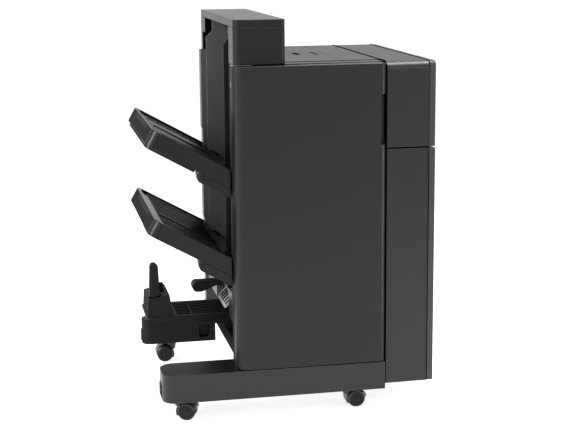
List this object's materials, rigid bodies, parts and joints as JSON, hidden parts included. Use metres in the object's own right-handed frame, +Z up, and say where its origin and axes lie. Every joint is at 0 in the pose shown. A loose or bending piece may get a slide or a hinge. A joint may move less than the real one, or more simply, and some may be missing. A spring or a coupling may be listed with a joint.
{
  "type": "booklet maker",
  "caption": "Floor-standing booklet maker with stacking trays, a folded-booklet table, a hinged front door, a slim tower and casters.",
  "frame": {"origin": "middle of the base of the box around the whole object, on the floor", "axes": "+X toward the side where the unit meets the machine that feeds it, +Y from the front door to the back, +Z up"},
  "size_m": [0.7924, 0.6366, 1.1],
  "materials": {
    "dark_cover": "dark charcoal moulded covers with a fine satin grain",
    "grey_cover": "slightly lighter charcoal moulded covers, satin",
    "tower_gloss": "darker charcoal moulded cover, smoother satin",
    "tray_plastic": "near-black moulded trays, satin",
    "table_plastic": "dark moulded booklet table and rear foot, satin",
    "guide_plastic": "light grey moulded ribs",
    "touch_plastic": "green plastic on the points that hands turn inside the door",
    "painted_steel": "dark painted sheet steel",
    "zinc_steel": "zinc-plated sheet steel",
    "roller_rubber": "dark rubber roller bands, matt",
    "caster_black": "black nylon caster forks",
    "caster_tread": "dark rubber caster wheels, matt"
  },
  "bodies": {
    "frame": {"base_left_rail": "zinc_steel", "base_right_rail": "zinc_steel", "booklet_exit_guide": "guide_plastic", "booklet_table": "table_plastic", "bottom_pan": "zinc_steel", "door_frame": "dark_cover", "door_hinge_lower": "zinc_steel", "door_hinge_upper": "zinc_steel", "exit_wall": "dark_cover", "front_column_cover": "dark_cover", "front_foot": "grey_cover", "front_guide_plate": "dark_cover", "front_side_plate": "zinc_steel", "front_tray_rail": "zinc_steel", "inner_front_panel": "painted_steel", "left_lower_cover": "dark_cover", "rear_beam": "zinc_steel", "rear_column_cover": "dark_cover", "rear_cover": "dark_cover", "rear_foot": "table_plastic", "rear_guide_plate": "dark_cover", "rear_side_plate": "zinc_steel", "rear_tray_rail": "zinc_steel", "right_frame_plate": "painted_steel", "right_lower_cover": "grey_cover", "right_lower_side": "grey_cover", "right_upper_cover": "grey_cover", "right_upper_side": "grey_cover", "top_fixed_cover": "dark_cover", "tower_cap": "tower_gloss", "tower_shell": "tower_gloss", "upper_crossbar": "zinc_steel"},
    "door": {"front_door": "dark_cover", "door_liner": "dark_cover"},
    "access_cover": {"top_access_cover": "dark_cover"},
    "upper_tray_lift": {"upper_tray": "tray_plastic", "upper_tray_carriage": "tray_plastic"},
    "upper_extension": {"upper_tray_extension": "tray_plastic"},
    "lower_tray_lift": {"lower_tray": "tray_plastic", "lower_tray_carriage": "tray_plastic"},
    "lower_extension": {"lower_tray_extension": "tray_plastic"},
    "block": {"stop_block": "table_plastic"},
    "paddle": {"stop_paddle": "table_plastic"},
    "arm": {"booklet_arm": "table_plastic"},
    "upper_exit": {"upper_exit_roller": "roller_rubber"},
    "lower_exit": {"lower_exit_roller": "roller_rubber"},
    "upper_fold": {"upper_fold_roller": "roller_rubber"},
    "lower_fold": {"lower_fold_roller": "roller_rubber", "jam_knob": "touch_plastic"},
    "intake": {"intake_roller": "roller_rubber"},
    "release_lever": {"jam_lever": "touch_plastic"},
    "cartridge": {"staple_cartridge": "touch_plastic"},
    "front_left_swivel": {"caster_front_left_fork": "caster_black"},
    "front_left_wheel": {"caster_front_left_wheels": "caster_tread"},
    "front_right_swivel": {"caster_front_right_fork": "caster_black"},
    "front_right_wheel": {"caster_front_right_wheels": "caster_tread"},
    "rear_left_swivel": {"caster_rear_left_fork": "caster_black"},
    "rear_left_wheel": {"caster_rear_left_wheels": "caster_tread"},
    "rear_right_swivel": {"caster_rear_right_fork": "caster_black"},
    "rear_right_wheel": {"caster_rear_right_wheels": "caster_tread"}
  },
  "joints": [
    {"name": "front_door_hinge", "type": "hinge", "parent": "frame", "child": "door", "pos_m": [-0.1583, -0.28425, 0.56], "axis": [0, 0, -1], "range_deg": [0, 95]},
    {"name": "access_cover_hinge", "type": "hinge", "parent": "frame", "child": "access_cover", "pos_m": [-0.0132, 0.01875, 0.98], "axis": [0, -1, 0], "range_deg": [0, 75]},
    {"name": "upper_tray_slide", "type": "slide", "parent": "frame", "child": "upper_tray_lift", "axis": [0, 0, 1], "range_m": [-0.05, 0.06]},
    {"name": "lower_tray_slide", "type": "slide", "parent": "frame", "child": "lower_tray_lift", "axis": [0, 0, 1], "range_m": [-0.01, 0.07]},
    {"name": "upper_extension_slide", "type": "slide", "parent": "upper_tray_lift", "child": "upper_extension", "axis": [-0.8721, 0, 0.4894], "range_m": [0, 0.1]},
    {"name": "lower_extension_slide", "type": "slide", "parent": "lower_tray_lift", "child": "lower_extension", "axis": [-0.8721, 0, 0.4894], "range_m": [0, 0.1]},
    {"name": "stop_block_slide", "type": "slide", "parent": "frame", "child": "block", "axis": [1, 0, 0], "range_m": [0, 0.045]},
    {"name": "stop_paddle_hinge", "type": "hinge", "parent": "block", "child": "paddle", "pos_m": [-0.3596, -0.04575, 0.2928], "axis": [0, 1, 0], "range_deg": [0, 20]},
    {"name": "booklet_arm_hinge", "type": "hinge", "parent": "frame", "child": "arm", "pos_m": [-0.1126, 0.01875, 0.366], "axis": [0, 1, 0], "range_deg": [0, 8]},
    {"name": "upper_exit_roller_spin", "type": "hinge", "parent": "frame", "child": "upper_exit", "pos_m": [-0.0766, 0.01875, 0.778], "axis": [0, 1, 0], "continuous": true},
    {"name": "lower_exit_roller_spin", "type": "hinge", "parent": "frame", "child": "lower_exit", "pos_m": [-0.0766, 0.01875, 0.533], "axis": [0, 1, 0], "continuous": true},
    {"name": "intake_roller_spin", "type": "hinge", "parent": "frame", "child": "intake", "pos_m": [0.2154, 0.01875, 0.843], "axis": [0, 1, 0], "continuous": true},
    {"name": "lower_fold_roller_spin", "type": "hinge", "parent": "frame", "child": "lower_fold", "pos_m": [-0.0726, 0.01875, 0.3194], "axis": [0, 1, 0], "continuous": true},
    {"name": "upper_fold_roller_spin", "type": "hinge", "parent": "frame", "child": "upper_fold", "pos_m": [-0.0726, 0.01875, 0.3482], "axis": [0, 1, 0], "continuous": true},
    {"name": "jam_lever_hinge", "type": "hinge", "parent": "frame", "child": "release_lever", "pos_m": [0.0794, -0.24425, 0.612], "axis": [0, 1, 0], "range_deg": [0, 60]},
    {"name": "staple_cartridge_slide", "type": "slide", "parent": "frame", "child": "cartridge", "axis": [0, -1, 0], "range_m": [0, 0.018]},
    {"name": "front_left_caster_swivel", "type": "hinge", "parent": "frame", "child": "front_left_swivel", "pos_m": [-0.3144, -0.25725, 0.06], "axis": [0, 0, 1], "continuous": true},
    {"name": "front_left_wheel_spin", "type": "hinge", "parent": "front_left_swivel", "child": "front_left_wheel", "pos_m": [-0.29749, -0.26341, 0.025], "axis": [0.342, 0.9397, 0], "continuous": true},
    {"name": "front_right_caster_swivel", "type": "hinge", "parent": "frame", "child": "front_right_swivel", "pos_m": [0.1666, -0.25725, 0.06], "axis": [0, 0, 1], "continuous": true},
    {"name": "front_right_wheel_spin", "type": "hinge", "parent": "front_right_swivel", "child": "front_right_wheel", "pos_m": [0.1846, -0.25725, 0.025], "axis": [0, 1, 0], "continuous": true},
    {"name": "rear_left_caster_swivel", "type": "hinge", "parent": "frame", "child": "rear_left_swivel", "pos_m": [-0.2814, 0.289, 0.06], "axis": [0, 0, 1], "continuous": true},
    {"name": "rear_left_wheel_spin", "type": "hinge", "parent": "rear_left_swivel", "child": "rear_left_wheel", "pos_m": [-0.2994, 0.289, 0.025], "axis": [0, -1, 0], "continuous": true},
    {"name": "rear_right_caster_swivel", "type": "hinge", "parent": "frame", "child": "rear_right_swivel", "pos_m": [0.1806, 0.289, 0.06], "axis": [0, 0, 1], "continuous": true},
    {"name": "rear_right_wheel_spin", "type": "hinge", "parent": "rear_right_swivel", "child": "rear_right_wheel", "pos_m": [0.1626, 0.289, 0.025], "axis": [0, -1, 0], "continuous": true}
  ],
  "couplings": [
    {"joint": "upper_fold_roller_spin", "follows": "lower_fold_roller_spin", "ratio": -1}
  ]
}
